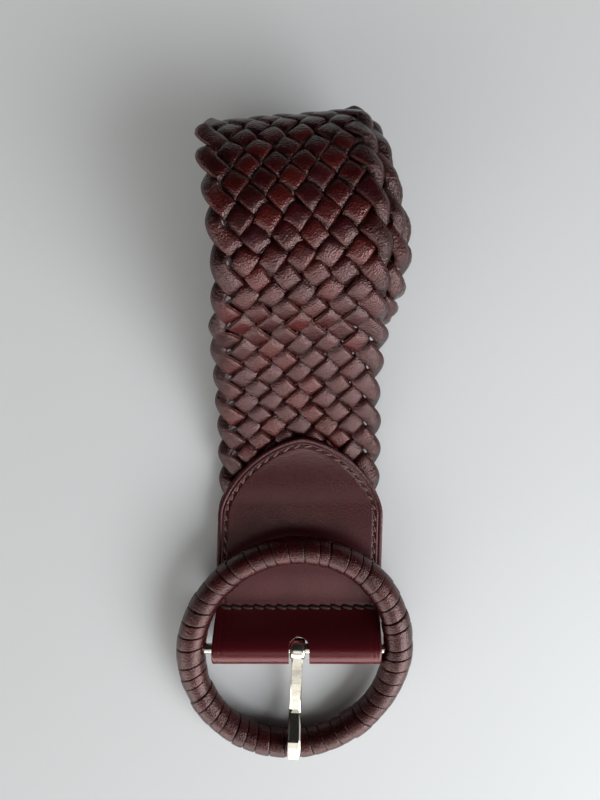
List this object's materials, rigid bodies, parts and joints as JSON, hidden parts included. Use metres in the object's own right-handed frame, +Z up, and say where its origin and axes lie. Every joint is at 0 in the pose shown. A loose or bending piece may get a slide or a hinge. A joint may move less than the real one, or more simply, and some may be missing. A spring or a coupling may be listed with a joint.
{
  "type": "braided belt",
  "caption": "Wide oxblood braided leather belt, rolled up, with its leather tab, leather-wrapped round buckle and metal prong laid out in front.",
  "frame": {"origin": "centre of the buckle tab's flat underside, on the surface that the belt lies on", "axes": "+Y along the strap from the buckle to the roll, +X across the strap to the right seen from above, +Z up"},
  "size_m": [0.0844, 0.2227, 0.0589],
  "materials": {
    "braid_leather": "semi-gloss, waxed",
    "tab_leather": "semi-gloss, smooth",
    "wrap_leather": "semi-gloss, waxed",
    "buckle_metal": "polished, pale"
  },
  "bodies": {
    "strap": {"braided_strap": "braid_leather", "buckle_tab": "tab_leather"},
    "buckle": {"buckle_core": "buckle_metal", "ring_wrap": "wrap_leather"},
    "prong": {"prong": "buckle_metal"}
  },
  "joints": [
    {"name": "buckle_swing", "type": "hinge", "parent": "strap", "child": "buckle", "pos_m": [-0.002, -0.0329, 0.01], "axis": [1, 0, 0], "range_deg": [0, 100]},
    {"name": "prong_swing", "type": "hinge", "parent": "buckle", "child": "prong", "pos_m": [-0.00085, -0.0329, 0.01], "axis": [1, 0, 0], "range_deg": [-110, 0]}
  ]
}
